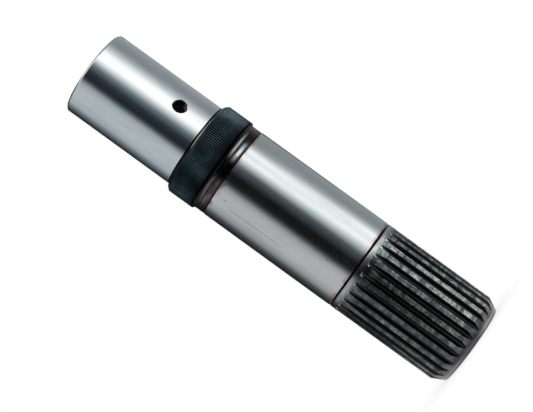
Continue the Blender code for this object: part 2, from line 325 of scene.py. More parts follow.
def spline_row(outline, station):
    """Angles, radii and depths round the splined end at one station.

    The hob's outline, lifted by hob_lift, is cut from the turned round, a cylinder and then the end
    cone. The columns follow the edge where the two cross, so that it stays crisp along the run-outs
    and across the cone, and they are spaced evenly again just before the gaps start and just after
    they end. A small burr stands where the hob breaks through, on one side:
    height * exp(-lengthwise^2 - across^2).
    """
    limit = soft_min(TIP_RADIUS, TIP_RADIUS - (station - CONE_START) * CONE_SLOPE, CONE_EDGE)
    even = min(max((GAP_START - station) / 0.45, (station - EVEN_AGAIN) / 0.2, 0.0), 1.0)
    half_pitch = math.pi / SPLINE_TEETH
    height = outline[:, 1] + hob_lift(station)
    gap_angle = np.arctan2(outline[:, 0], height)
    gap_radius = np.hypot(outline[:, 0], height)
    edge = np.interp(limit, gap_radius, gap_angle, left=0.0)
    edge = float(np.clip(edge, 0.16 * half_pitch, 0.9 * half_pitch))
    from_gap = np.concatenate([edge + LAND_COLUMNS * (half_pitch - edge), edge * GAP_COLUMNS])
    from_gap += (np.linspace(half_pitch, 0, len(from_gap)) - from_gap) * even
    radius = soft_min(limit, np.interp(from_gap, gap_angle, gap_radius), GAP_EDGE)
    past_start = (station - GAP_START - BURR_PAST_START) / BURR_LENGTH
    past_edge = ((from_gap - edge) * TIP_RADIUS - BURR_PAST_EDGE) / BURR_WIDTH
    burr = BURR_HEIGHT * np.exp(-(past_start**2) - past_edge**2) * (1 - even)
    from_tooth = half_pitch - from_gap
    angles = np.concatenate([from_tooth, 2 * half_pitch - from_tooth[-2:0:-1]])
    radii = np.concatenate([radius + burr, radius[-2:0:-1]])
    turns = math.radians(TOOTH_ANGLE) + np.arange(SPLINE_TEETH)[:, None] * math.tau / SPLINE_TEETH
    radii = np.tile(radii, SPLINE_TEETH)
    return (turns + angles).ravel(), radii, station, limit - radii


def curved(start, corner, end, steps):
    """Points along (1-t)^2 start + 2t(1-t) corner + t^2 end, a rounding with both lines' slopes."""
    part = np.linspace(0, 1, steps + 1)[:, None]
    start, corner, end = np.array([start, corner, end])
    return (1 - part) ** 2 * start + 2 * part * (1 - part) * corner + part**2 * end


def window_loop(rings, first_column):
    """Point numbers round a window of rings, clockwise seen from outside."""
    grid = np.stack(rings)[:, (first_column + np.arange(WINDOW + 1)) % RING]
    sides = (grid[:, 0][::-1], grid[0], grid[:, -1], grid[-1, ::-1])
    return np.concatenate([side[:-1] for side in sides])


def drill(shell, outer_loop, inner_loop):
    """The oil hole: both walls' windows closed in to it, its countersink and its wall.

    A ring of the drill is radius * (cos t, sin t) across its axis, with t the angle of the window's
    own border point. On a cylinder of radius R it lies at reach sqrt(R^2 - x^2) along the drill's
    axis, x being its part across the shaft. The countersink is at 45 degrees: its mouth is wider by
    as much as it lies further out than its foot.
    """
    middle = math.radians(OIL_HOLE_ANGLE)
    out = np.array([math.cos(middle), math.sin(middle)])
    side = np.array([-out[1], out[0]])
    height = LENGTH - OIL_HOLE_STATION
    rim_reach = PLAIN_JOURNAL_RADIUS - OIL_HOLE_COUNTERSINK

    def border(loop, radius):
        """A window's border: turn from the hole's middle, rise, and angle round the hole."""
        across, back, up = np.concatenate(shell.points)[loop].T
        turn = np.angle(np.exp(1j * (np.arctan2(back, across) - middle)))
        return turn, up - height, np.arctan2(up - height, radius * turn)

    def bored(turn, radius, reach):
        """A ring of the drill, as far out along its axis as reach says at each point."""
        across, up = radius * np.cos(turn), radius * np.sin(turn)
        flat = out * np.asarray(reach)[..., None] + side * across[:, None]
        return np.column_stack([flat, height + up])

    def closed_in(loop, wall, radius, shares):
        """Rings on a wall between a window's border and the hole's mouth, at shares of the way."""
        turn, up, angle = border(loop, wall)
        mouth_turn = np.arcsin(radius * np.cos(angle) / wall)
        rings = []
        for share in shares:
            here = middle + turn + (mouth_turn - turn) * share
            rise = height + up + (radius * np.sin(angle) - up) * share
            points = np.column_stack([wall * np.cos(here), wall * np.sin(here), rise])
            rings.append(shell.add(points))
        return rings

    angle = border(outer_loop, PLAIN_JOURNAL_RADIUS)[2]
    mouth = np.full(len(angle), OIL_HOLE_RADIUS)
    for _ in range(6):
        reach = np.sqrt(PLAIN_JOURNAL_RADIUS**2 - (mouth * np.cos(angle)) ** 2)
        mouth = OIL_HOLE_RADIUS + np.maximum(reach - rim_reach, 0.02)
    outside = closed_in(outer_loop, PLAIN_JOURNAL_RADIUS, mouth, (0.3, 0.6, 0.85, 0.96, 1.0))
    shell.skin([outer_loop, *outside], GROUND)
    across = OIL_HOLE_RADIUS * np.cos(angle)
    top = np.minimum(rim_reach, np.sqrt(PLAIN_JOURNAL_RADIUS**2 - across**2) - 0.02)
    low = np.sqrt(BORE_RADIUS**2 - across**2)
    wall = [outside[-1]]
    for share in (0.0, 0.04, 0.2, 0.5, 0.8, 1.0):
        wall.append(shell.add(bored(angle, OIL_HOLE_RADIUS, top + (low - top) * share)))
    shell.skin(wall[:2], GROUND)
    shell.skin(wall[1:], TURNED)
    inside = closed_in(inner_loop, BORE_RADIUS, OIL_HOLE_RADIUS, (0.9, 0.5))
    shell.skin([wall[-1], *inside, inner_loop], TURNED)


def shaft_mesh():
    """The shaft as one closed skin: down the outside, across the splined end, and up the bore.

    Rings run round the axis at each station of the turned outline. They have more points over the
    knurl and the spline, where the radius is also a function of the angle.
    """
    shell = Shell()
    even = np.radians(OIL_HOLE_ANGLE) + np.arange(RING) * math.tau / RING
    half_window = WINDOW / 2 * math.tau / RING * PLAIN_JOURNAL_RADIUS
    window_stations = OIL_HOLE_STATION + np.linspace(-half_window, half_window, WINDOW + 1)
    first_column = RING - WINDOW // 2
    in_window = (np.arange(RING) - first_column) % RING < WINDOW

    def turned(rows):
        """Plain rings for rows of (station, radius)."""
        return [shell.ring(even, radius, station) for station, radius in rows]

    plain_end = turned(PLAIN_END)
    window = turned([(station, PLAIN_JOURNAL_RADIUS) for station in window_stations])
    lip = curved((SHOULDER, 17.404), (SHOULDER, SHOULDER_RADIUS), (47.160, 17.989), 4)
    undercut = turned([*UNDERCUT_RINGS, *lip, *TOP_CHAMFER_RINGS])
    shell.skin(plain_end[:3], TURNED)
    shell.skin(plain_end[2:] + window[:1], GROUND)
    shell.skin(window, GROUND, in_window)
    shell.skin(window[-1:] + undercut[:3], GROUND)
    shell.skin(undercut[2:], NECK)

    knurl = [shell.ring(*knurl_row(station)) for station in KNURL_STATIONS]
    neck = turned(NECK_RINGS)
    shell.bridge(undercut[-1], knurl[0], NECK)
    shell.skin(knurl[:8], NECK)
    shell.skin(knurl[7:], OXIDE)
    shell.bridge(knurl[-1], neck[0], OXIDE)
    shell.skin(neck[:2], OXIDE)
    shell.skin(neck[1:-2], NECK)
    shell.skin(neck[-3:], GROUND)

    journal = turned(MAIN_JOURNAL_RINGS)
    shell.skin(neck[-1:] + journal[:5], GROUND)
    shell.skin(journal[4:], NECK)

    outline = hob_outline()
    teeth = [shell.ring(*spline_row(outline, station)) for station in TEETH_STATIONS]
    rounded_rim = curved((169.858, 15.902), (LENGTH, 15.667), (LENGTH, 15.167), 6)
    rim = turned([*END_CONE_RINGS, *rounded_rim, *SPLINED_END])
    shell.bridge(journal[-1], teeth[0], NECK)
    shell.skin(teeth[:4], NECK)
    shell.skin(teeth[3:], SPLINE)
    shell.bridge(teeth[-1], rim[0], SPLINE)
    shell.skin(rim[:-5], SPLINE)
    shell.skin(rim[-6:], TURNED)

    bore = turned(BORE_RINGS)
    bore_window = turned([(station, BORE_RADIUS) for station in window_stations[::-1]])
    seat = turned(BUSHING_SEAT_RINGS)
    shell.skin(rim[-1:] + bore + bore_window[:1], TURNED)
    shell.skin(bore_window, TURNED, in_window)
    shell.skin(bore_window[-1:] + seat + plain_end[:1], TURNED)
    outer_loop = window_loop(window, first_column)
    drill(shell, outer_loop, window_loop(bore_window[::-1], first_column))
    mesh = shell.mesh("shaft_skin")
    mesh.shade_smooth()
    mesh.set_sharp_from_angle(angle=math.radians(SHARP_ANGLE))
    return mesh


def feed(tree, node, **inputs):
    """Sets a node's inputs, each to a value or another node's socket; _0 is its first one."""
    for name, value in inputs.items():
        socket = node.inputs[int(name[1:]) if name[0] == "_" else name.replace("_", " ")]
        if isinstance(value, bpy.types.NodeSocket):
            tree.links.new(value, socket)
        else:
            socket.default_value = value


def place(tree, kind, settings=None, **inputs):
    """A new shader node with its settings and inputs."""
    made = tree.nodes.new(kind)
    for name, value in (settings or {}).items():
        setattr(made, name, value)
    feed(tree, made, **inputs)
    return made


def math_node(tree, operation, first, second=0.0, clamp=False):
    """One sum of two values, such as ADD or MAXIMUM, held between 0 and 1 if clamp is set."""
    settings = {"operation": operation, "use_clamp": clamp}
    return place(tree, "ShaderNodeMath", settings, _0=first, _1=second).outputs[0]


def times(tree, *values):
    """The product of values or sockets."""
    made = values[0]
    for value in values[1:]:
        made = math_node(tree, "MULTIPLY", made, value)
    return made


def largest(tree, *values):
    """The largest of some values or sockets."""
    made = values[0]
    for value in values[1:]:
        made = math_node(tree, "MAXIMUM", made, value)
    return made


def mapped(tree, value, low, high, new_low=0.0, new_high=1.0):
    """A value from low to high carried over to new_low to new_high, and held there outside them."""
    spans = {"_1": low, "_2": high, "_3": new_low, "_4": new_high}
    return place(tree, "ShaderNodeMapRange", Value=value, **spans).outputs["Result"]


def weighed(tree, mask, at_zero, at_one):
    """A mask's 0 and 1 carried over to two other values."""
    return mapped(tree, mask, 0.0, 1.0, at_zero, at_one)


def mixed(tree, share, first, second):
    """A colour between two, by a share from 0 to 1; a plain colour comes as (red, green, blue)."""
    first, second = [(*side, 1.0) if isinstance(side, tuple) else side for side in (first, second)]
    settings = {"data_type": "RGBA", "clamp_factor": True}
    return place(tree, "ShaderNodeMix", settings, _0=share, _6=first, _7=second).outputs[2]


def layered(tree, colour, *layers):
    """A colour with others laid over it one after the other, each as (mask, colour)."""
    for mask, over in layers:
        colour = mixed(tree, mask, colour, over)
    return colour


def ramp(tree, value, stops):
    """A colour by a value, along straight lines between stops of (value, colour)."""
    made = place(tree, "ShaderNodeValToRGB", Fac=value)
    elements = made.color_ramp.elements
    while len(elements) < len(stops):
        elements.new(0.5)
    for element, (spot, colour) in zip(elements, stops):
        element.position = spot
        element.color = (*colour, 1.0)
    return made.outputs["Color"]


def noise(tree, vector, scale, detail=2.0, roughness=0.5):
    """Smooth noise from 0 to 1, with scale waves to the metre."""
    sizes = {"Scale": scale, "Detail": detail, "Roughness": roughness}
    return place(tree, "ShaderNodeTexNoise", Vector=vector, **sizes).outputs["Fac"]


def drawn_noise(tree, vector, across, along, detail=2.0, roughness=0.5):
    """Noise with its own number of waves to the metre across the axis, and another along it."""
    settings = {"operation": "MULTIPLY"}
    drawn = place(tree, "ShaderNodeVectorMath", settings, _0=vector, _1=(across, across, along))
    return noise(tree, drawn.outputs["Vector"], 1.0, detail, roughness)


def height_of(tree, vector):
    """The height along the axis, in metres."""
    return place(tree, "ShaderNodeSeparateXYZ", Vector=vector).outputs["Z"]


def height_at(station):
    """The height in metres of a station: the length less the station."""
    return (LENGTH - station) * MM


def from_to(tree, height, first, last, at_first=0.0, at_last=1.0):
    """A value that goes evenly from one at the first station to another at the last."""
    return mapped(tree, height, height_at(first), height_at(last), at_first, at_last)


def between(tree, height, first, last, soft=0.12):
    """A mask that is 1 from one station down to another, with soft edges inside them."""
    below_first = from_to(tree, height, first + soft, first, 1.0, 0.0)
    return times(tree, below_first, from_to(tree, height, last, last - soft))


def towards(tree, vector, angle, edge, middle):
    """A mask of the side that faces an angle: 0 to 1 as x cos + y sin goes from edge to middle.

    Edge and middle are shares of the main journal's radius.
    """
    turn = math.radians(angle)
    facing = place(
        tree, "ShaderNodeVectorMath", {"operation": "DOT_PRODUCT"}, _0=vector,
        _1=(math.cos(turn), math.sin(turn), 0.0),
    ).outputs["Value"]
    radius = MAIN_JOURNAL_RADIUS * MM
    return mapped(tree, facing, edge * radius, middle * radius)


def new_group(name, numbers, outputs):
    """An empty node group: its tree, its inputs, Vector and the numbers, and its outputs."""
    tree = bpy.data.node_groups.new(name, "ShaderNodeTree")
    tree.interface.new_socket(name="Vector", in_out="INPUT", socket_type="NodeSocketVector")
    for label, value in numbers.items():
        made = tree.interface.new_socket(name=label, in_out="INPUT", socket_type="NodeSocketFloat")
        made.default_value = value
    for label in outputs:
        kind = "NodeSocketColor" if label == "Color" else "NodeSocketFloat"
        tree.interface.new_socket(name=label, in_out="OUTPUT", socket_type=kind)
    return tree, tree.nodes.new("NodeGroupInput").outputs, tree.nodes.new("NodeGroupOutput").inputs


def grinding_group():
    """Marks that run round the shaft, 0.6 coarse + 0.4 fine, and patches drawn out along it."""
    tree, given, made = new_group("grinding_marks", {}, ("Height", "Patches"))
    coarse = drawn_noise(tree, given["Vector"], 30, 2600, 3.0, 0.6)
    fine = drawn_noise(tree, given["Vector"], 60, 9000)
    both = math_node(tree, "ADD", times(tree, coarse, 0.6), times(tree, fine, 0.4))
    tree.links.new(both, made["Height"])
    patches = drawn_noise(tree, given["Vector"], 190, 60, 4.0, 0.6)
    tree.links.new(mapped(tree, patches, 0.32, 0.68), made["Patches"])
    return tree


def temper_group():
    """Specks of the colours that heat leaves beside a dark zone, by the distance past its edge.

    Straight is (height - Edge) / Reach. Past is straight pushed to and fro by noise, and a colour
    ramp by it runs from the dark scale over blue, purple and brown to straw. Cover is full up to a
    past of 0.55 and gone at 1, starts at a straight of -0.5 to -0.1, and is thinned by finer noise.
    """
    numbers = {"Edge": 0.0, "Reach": 0.001, "Wander": 0.5}
    tree, given, made = new_group("temper_colours", numbers, ("Color", "Cover"))
    from_edge = math_node(tree, "SUBTRACT", height_of(tree, given["Vector"]), given["Edge"])
    straight = math_node(tree, "DIVIDE", from_edge, given["Reach"])
    broad = math_node(tree, "SUBTRACT", noise(tree, given["Vector"], 170.0, 1.5, 0.5), 0.5)
    past = math_node(tree, "ADD", straight, times(tree, broad, given["Wander"]))
    stops = [
        (0.0, (0.05, 0.06, 0.08)),
        (0.18, (0.10, 0.17, 0.34)),
        (0.36, (0.25, 0.15, 0.33)),
        (0.52, (0.55, 0.22, 0.14)),
        (0.68, (0.72, 0.48, 0.22)),
        (0.84, (0.62, 0.60, 0.44)),
        (1.0, (0.62, 0.64, 0.66)),
    ]
    tree.links.new(ramp(tree, past, stops), made["Color"])
    near = times(tree, mapped(tree, past, 0.55, 1.0, 1.0, 0.0), mapped(tree, straight, -0.5, -0.1))
    specks = mapped(tree, noise(tree, given["Vector"], 260.0, 1.0), 0.40, 0.60, 0.1, 1.0)
    tree.links.new(times(tree, near, specks), made["Cover"])
    return tree


def mottle_group():
    """Clouds and fine grain, both from noise, as heat treatment leaves on a skin of scale."""
    tree, given, made = new_group("scale_mottle", {"Size": 1.0}, ("Clouds", "Grain"))
    sizes = {"_0": given["Vector"], "Scale": given["Size"]}
    scaled = place(tree, "ShaderNodeVectorMath", {"operation": "SCALE"}, **sizes).outputs["Vector"]
    clouds = noise(tree, scaled, 150.0, 4.0, 0.62)
    tree.links.new(mapped(tree, clouds, 0.36, 0.64), made["Clouds"])
    tree.links.new(mapped(tree, noise(tree, scaled, 2400.0, 3.0, 0.7), 0.3, 0.7), made["Grain"])
    return tree


def scratch_group():
    """One scratch along the shaft: a thin band round a line of constant angle that wavers along Z.

    The vector comes turned so that the scratch faces +X. Across is y / x, pushed aside by noise
    along Z. The mask falls from 1 on the line to 0 at Width across, fades out at Start and End, is
    broken up by finer noise, and is 0 where x is negative.
    """
    numbers = {"Width": 0.01, "Start": 0.0, "End": 1.0}
    tree, given, made = new_group("scratch", numbers, ("Mask",))
    parts = place(tree, "ShaderNodeSeparateXYZ", Vector=given["Vector"]).outputs
    along = place(tree, "ShaderNodeCombineXYZ", Z=parts["Z"]).outputs["Vector"]
    waver = times(tree, math_node(tree, "SUBTRACT", noise(tree, along, 130.0, 2.0), 0.5), 0.05)
    across = math_node(tree, "ADD", math_node(tree, "DIVIDE", parts["Y"], parts["X"]), waver)
    across = math_node(tree, "ABSOLUTE", across)
    thin = math_node(tree, "SUBTRACT", 1.0, math_node(tree, "DIVIDE", across, given["Width"]), True)
    middle = times(tree, math_node(tree, "ADD", given["Start"], given["End"]), 0.5)
    half = times(tree, math_node(tree, "SUBTRACT", given["End"], given["Start"]), 0.5)
    from_middle = math_node(tree, "ABSOLUTE", math_node(tree, "SUBTRACT", parts["Z"], middle))
    share = math_node(tree, "DIVIDE", from_middle, half)
    lengthwise = mapped(tree, math_node(tree, "SUBTRACT", 1.0, share, True), 0.0, 0.35)
    facing = math_node(tree, "GREATER_THAN", parts["X"], 0.0)
    broken = mapped(tree, noise(tree, along, 900.0, 2.0), 0.35, 0.6, 0.25, 1.0)
    tree.links.new(times(tree, thin, lengthwise, facing, broken), made["Mask"])
    return tree


def new_material(name):
    """A material with its tree, its Principled shader and the object's coordinates."""
    material = bpy.data.materials.new(name)
    material.use_nodes = True
    tree = material.node_tree
    shader = tree.nodes["Principled BSDF"]
    coordinates = tree.nodes.new("ShaderNodeTexCoord").outputs["Object"]
    return material, tree, shader, coordinates


def use_group(tree, group, **inputs):
    """The outputs of a node group placed in a tree."""
    return place(tree, "ShaderNodeGroup", {"node_tree": group}, **inputs).outputs


def depth_below(tree, shallow, deep):
    """A mask from the mesh's depth: 0 at a shallow cut and 1 at a deep one, in millimetres."""
    depth = place(tree, "ShaderNodeAttribute", {"attribute_name": "depth"}).outputs["Fac"]
    return mapped(tree, depth, shallow, deep)


def bare_metal(tree, shader, colour, rough, height, depth):
    """Feeds the shader a bare metal, its normal turned by a height over a depth in metres."""
    feed(tree, shader, Base_Color=colour, Metallic=1.0, Roughness=rough)
    made = place(tree, "ShaderNodeBump", Distance=depth, Height=height)
    tree.links.new(made.outputs["Normal"], shader.inputs["Normal"])


# Scratches and nicks on the main journal: angle, width over the radius, first and last station
SCRATCHES = [
    (-158.4, 0.020, 69.5, 94.5),
    (-137.0, 0.030, 109.6, 110.6),
    (-133.6, 0.024, 111.8, 112.5),
    (-151.5, 0.030, 67.6, 68.4),
]
# Temper colours on the main journal: the hot edge's station, and the reach upwards from it
TEMPER_EDGES = [(62.95, -2.4), (120.65, 2.4)]
# Bands of black painted shade beside the collar and in the grooves: first and last station, soft
# edge
PAINTED_SHADE_BANDS = [
    (46.05, 46.90, 0.04),
    (47.36, 47.60, 0.06),
    (60.62, 61.00, 0.06),
    (63.22, 63.85, 0.06),
    (119.76, 120.70, 0.06),
]
# Colours by a hue noise: the neck's scale, its darker top side, and the blank between groove and
# teeth
NECK_HUES = [
    (0.36, (0.020, 0.020, 0.021)),
    (0.46, (0.075, 0.066, 0.060)),
    (0.53, (0.085, 0.066, 0.100)),
    (0.62, (0.170, 0.150, 0.095)),
]
TOP_SIDE_HUES = [
    (0.42, (0.010, 0.034, 0.022)),
    (0.50, (0.014, 0.014, 0.015)),
    (0.58, (0.075, 0.014, 0.018)),
]
BLANK_HUES = [
    (0.38, (0.36, 0.46, 0.40)),
    (0.47, (0.52, 0.50, 0.47)),
    (0.54, (0.56, 0.46, 0.50)),
    (0.62, (0.42, 0.50, 0.56)),
]


def ground_steel(groups):
    """Ground journals: bright steel with fine marks round it, temper specks and scratches."""
    material, tree, shader, vector = new_material("ground_steel")
    marks = use_group(tree, groups["grinding"], Vector=vector)
    streaks = mapped(tree, drawn_noise(tree, vector, 900, 24, 3.0, 0.6), 0.3, 0.7)
    colour = mixed(tree, marks["Patches"], (0.605, 0.61, 0.615), (0.675, 0.68, 0.68))
    colour = mixed(tree, mapped(tree, streaks, 0.5, 1.0, 0.0, 0.12), colour, (0.50, 0.51, 0.53))
    for edge, reach in TEMPER_EDGES:
        sizes = {"Edge": height_at(edge), "Reach": reach * MM, "Wander": 1.5}
        temper = use_group(tree, groups["temper"], Vector=vector, **sizes)
        colour = mixed(tree, times(tree, temper["Cover"], 0.8), colour, temper["Color"])
    masks = []
    for angle, width, start, end in SCRATCHES:
        turned = place(tree, "ShaderNodeMapping", {"vector_type": "TEXTURE"}, Vector=vector)
        turned.inputs["Rotation"].default_value = (0.0, 0.0, math.radians(angle))
        sizes = {"Width": width, "Start": height_at(end), "End": height_at(start)}
        masks.append(use_group(tree, groups["scratch"], Vector=turned.outputs[0], **sizes)["Mask"])
    wear = largest(tree, *masks)
    colour = mixed(tree, times(tree, wear, 0.75), colour, (0.16, 0.15, 0.15))
    rough = weighed(tree, marks["Patches"], 0.10, 0.13)
    rough = math_node(tree, "ADD", rough, times(tree, streaks, 0.03))
    height = math_node(tree, "SUBTRACT", marks["Height"], times(tree, wear, 1.5))
    bare_metal(tree, shader, colour, rough, height, 0.0000008)
    return material


def black_oxide(groups):
    """The knurled collar: a blue-black skin from heat treatment, mottled, with painted shade in the
    grooves and a painted sheen on its top side.
    """
    material, tree, shader, vector = new_material("black_oxide")
    mottle = use_group(tree, groups["mottle"], Vector=vector, Size=1.0)
    clouds, height = mottle["Clouds"], height_of(tree, vector)
    # Painted sheen: the top side is painted a lighter blue-grey
    top_side = towards(tree, vector, -50.0, 0.45, 0.95)
    neck_side = from_to(tree, height, 54.5, 58.0, 0.0, 0.7)
    # Painted shade in the knurl's grooves, strongest on the side that faces the bright panels
    groove_shade_side = weighed(tree, towards(tree, vector, -93.0, 0.86, 0.97), 0.45, 1.0)
    grooves = times(tree, depth_below(tree, 0.02, 0.22), groove_shade_side)
    dark = largest(tree, neck_side, grooves, between(tree, height, 57.6, 59.7, 0.4))
    colour = layered(
        tree,
        mixed(tree, clouds, (0.014, 0.026, 0.034), (0.062, 0.100, 0.118)),
        (times(tree, top_side, weighed(tree, clouds, 0.4, 1.0), 0.75), (0.14, 0.20, 0.235)),
        (times(tree, mottle["Grain"], 0.45), (0.03, 0.04, 0.045)),
        (dark, (0.002, 0.002, 0.003)),
    )
    rough = weighed(tree, clouds, 0.44, 0.32)
    bare_metal(tree, shader, colour, rough, mottle["Grain"], 0.00001)
    return material


def neck_scale(groups):
    """Unground steel beside the collar and the spline: black scale, worn rings, painted
    reflections.

    The layers are the darker, tinted top side, the collar's lip, the shoulder with a painted
    highlight on its lit side, and the chamfer, a streaked light band and a blue-tinted ring on the
    neck, both painted reflections on its lit side, the tinted blank and the greenish edge before
    the teeth, painted shade on the neck's side that faces the camera, and black painted shade in
    the undercut and grooves.
    """
    material, tree, shader, vector = new_material("neck_scale")
    mottle = use_group(tree, groups["mottle"], Vector=vector, Size=1.6)
    marks = use_group(tree, groups["grinding"], Vector=vector)
    height = height_of(tree, vector)
    hue = drawn_noise(tree, vector, 110, 700, 3.0, 0.6)
    wear_and_sheen = mapped(tree, mottle["Clouds"], 0.05, 0.6, 0.35, 1.0)
    top_side = times(tree, towards(tree, vector, -50.0, 0.78, 0.92), 0.85)
    # Painted highlight: the shoulder is painted light grey on the side that faces the bright panels
    shoulder_highlight_side = towards(tree, vector, -101.0, 0.89, 0.95)
    shoulder = times(tree, between(tree, height, 46.90, 47.34, 0.05), shoulder_highlight_side)
    worn = mapped(tree, wear_and_sheen, 0.35, 1.0, 0.6, 1.0)
    chamfer = times(tree, between(tree, height, 47.62, 48.4, 0.1), worn)
    streaks = mapped(tree, drawn_noise(tree, vector, 60, 5200), 0.35, 0.6, 0.35, 1.0)
    # Painted reflection: a streaked light band on the neck's lit side
    lit_side = weighed(tree, towards(tree, vector, -86.0, 0.91, 0.965), 0.22, 1.0)
    reflection_stripe = times(tree, between(tree, height, 59.55, 60.58, 0.2), streaks, lit_side)
    # Painted reflection: a light ring, blue-tinted at one edge, on the side that faces the bright
    # panels
    sheen_side = towards(tree, vector, -96.5, 0.950, 0.980)
    sheen_ring = times(tree, between(tree, height, 61.4, 62.95, 0.55), sheen_side, wear_and_sheen)
    blue_sheen_side = towards(tree, vector, -82.0, 0.972, 0.990)
    bluish_sheen = mixed(tree, blue_sheen_side, (0.60, 0.60, 0.60), (0.20, 0.36, 0.46))
    worn = mapped(tree, wear_and_sheen, 0.35, 1.0, 0.7, 1.0)
    blank = times(tree, between(tree, height, 120.70, 123.4, 0.1), worn)
    # Painted shade on the neck's side that faces the camera
    camera_side_shade = towards(tree, vector, -122.0, 0.955, 0.985)
    camera_side_shade = times(tree, camera_side_shade, between(tree, height, 59.4, 63.7), 0.85)
    # Black painted shade in the undercut and the grooves
    black = largest(tree, *[between(tree, height, *band) for band in PAINTED_SHADE_BANDS])
    colour = layered(
        tree,
        ramp(tree, hue, NECK_HUES),
        (top_side, ramp(tree, hue, TOP_SIDE_HUES)),
        (between(tree, height, 46.85, 48.6, 0.05), (0.009, 0.010, 0.011)),
        (shoulder, (0.50, 0.49, 0.48)),
        (chamfer, (0.030, 0.040, 0.044)),
        (reflection_stripe, (0.34, 0.315, 0.29)),
        (sheen_ring, bluish_sheen),
        (blank, ramp(tree, hue, BLANK_HUES)),
        (from_to(tree, height, 121.8, 122.5), (0.25, 0.30, 0.28)),
        (camera_side_shade, (0.004, 0.004, 0.004)),
        (black, (0.003, 0.003, 0.004)),
    )
    rough = weighed(tree, mottle["Clouds"], 0.22, 0.14)
    bare_metal(tree, shader, colour, rough, marks["Height"], 0.000003)
    return material


def spline_scale(groups):
    """The hobbed teeth: dark scale, worn lighter in streaks and short cross marks on the lands.

    The wear is the product of a noise drawn out across the lands and one drawn out along them, with
    more of it on the side to the light, which is painted light, and brighter marks painted as
    highlights on the side that faces the bright panels. The layers over it are the greenish
    run-outs with painted shade on their side that faces the camera, the end cone with its ring,
    which is lighter on its lit side as a painted highlight, painted shade on the cone and on its
    rounded edge, painted shade in the gaps by the mesh's depth, and the burrs with painted glints.
    """
    material, tree, shader, vector = new_material("spline_scale")
    mottle = use_group(tree, groups["mottle"], Vector=vector, Size=1.6)
    clouds, height = mottle["Clouds"], height_of(tree, vector)
    cross = drawn_noise(tree, vector, 150, 480, 4.0, 0.74)
    lengthwise = drawn_noise(tree, vector, 1500, 90, 3.0, 0.6)
    flecks = mapped(tree, drawn_noise(tree, vector, 1500, 900, 3.0, 0.7), 0.42, 0.56)
    wear_and_sheen = times(tree, mapped(tree, cross, 0.45, 0.58), mapped(tree, lengthwise, 0.36, 0.52))
    wear_and_sheen = times(tree, wear_and_sheen, mapped(tree, clouds, 0.1, 0.8, 0.35, 1.0))
    # Painted light: more of the wear shows on the side to the light
    light_side = weighed(tree, towards(tree, vector, -65.0, 0.3, 0.95), 0.3, 0.9)
    wear_and_sheen = times(tree, wear_and_sheen, light_side)
    # Painted highlights: brighter cross marks on the side that faces the bright panels
    bright = times(tree, mapped(tree, cross, 0.40, 0.53), mapped(tree, lengthwise, 0.33, 0.46))
    bright = times(tree, bright, towards(tree, vector, -84.0, 0.88, 0.97), 0.5)
    wear_and_sheen = times(tree, largest(tree, wear_and_sheen, bright), weighed(tree, flecks, 0.40, 1.15))
    run_outs = mixed(tree, flecks, (0.07, 0.09, 0.085), (0.19, 0.235, 0.22))
    start_band = mixed(tree, flecks, (0.13, 0.165, 0.15), (0.27, 0.32, 0.30))
    # Painted shade on the run-outs' side that faces the camera
    camera_side_shade = towards(tree, vector, -117.0, 0.955, 0.988)
    camera_side_shade = times(tree, camera_side_shade, from_to(tree, height, 125.6, 124.4, 0.0, 0.85))
    cone = mixed(tree, clouds, (0.050, 0.048, 0.052), (0.158, 0.151, 0.162))
    # Painted highlight: the end ring is lighter on its lit side
    ring_highlight_side = towards(tree, vector, -84.0, 0.80, 0.95)
    ring = mixed(tree, ring_highlight_side, (0.24, 0.235, 0.24), (0.42, 0.42, 0.41))
    shade = towards(tree, vector, -120.0, 0.76, 0.86)
    shade = times(tree, shade, from_to(tree, height, 167.5, 166.5, 0.6, 0.0))
    # Painted glints: the burrs are painted near white on their lit side, with less roughness
    lit_side = weighed(tree, towards(tree, vector, -95.0, 0.75, 0.95), 0.35, 1.0)
    burr = times(tree, depth_below(tree, -0.02, -0.05), lit_side)
    colour = layered(
        tree,
        mixed(tree, clouds, (0.038, 0.041, 0.043), (0.110, 0.114, 0.115)),
        (wear_and_sheen, (0.66, 0.65, 0.63)),
        (from_to(tree, height, 125.2, 124.2, 0.0, 0.8), run_outs),
        (from_to(tree, height, 123.5, 122.7), start_band),
        (camera_side_shade, (0.022, 0.025, 0.025)),
        (from_to(tree, height, 165.55, 165.45, 0.9, 0.0), cone),
        (from_to(tree, height, 169.1, 168.6, 0.85, 0.0), ring),
        (shade, (0.03, 0.03, 0.034)),
        # Painted shade on the rounded rim of the splined end
        (from_to(tree, height, 170.05, 169.75, 1.0, 0.0), (0.014, 0.014, 0.016)),
        # Painted shade in the gaps, by the mesh's depth
        (depth_below(tree, 0.01, 0.20), (0.020, 0.021, 0.022)),
        (burr, (0.95, 0.95, 0.93)),
    )
    rough = weighed(tree, clouds, 0.34, 0.26)
    rough = math_node(tree, "SUBTRACT", rough, times(tree, burr, 0.12))
    grain = math_node(tree, "ADD", times(tree, mottle["Grain"], 0.4), times(tree, cross, 0.6))
    bare_metal(tree, shader, colour, rough, grain, 0.000010)
    return material


def turned_steel(groups):
    """The bore and the end faces: lathe-turned steel with a thin dark skin."""
    material, tree, shader, vector = new_material("turned_steel")
    mottle = use_group(tree, groups["mottle"], Vector=vector, Size=1.0)
    marks = use_group(tree, groups["grinding"], Vector=vector)
    colour = mixed(tree, mottle["Clouds"], (0.22, 0.225, 0.23), (0.36, 0.36, 0.36))
    rough = weighed(tree, mottle["Clouds"], 0.42, 0.30)
    bare_metal(tree, shader, colour, rough, marks["Height"], 0.000006)
    return material


def new_object(name, data):
    """A new object in the scene."""
    made = bpy.data.objects.new(name, data)
    bpy.context.scene.collection.objects.link(made)
    return made


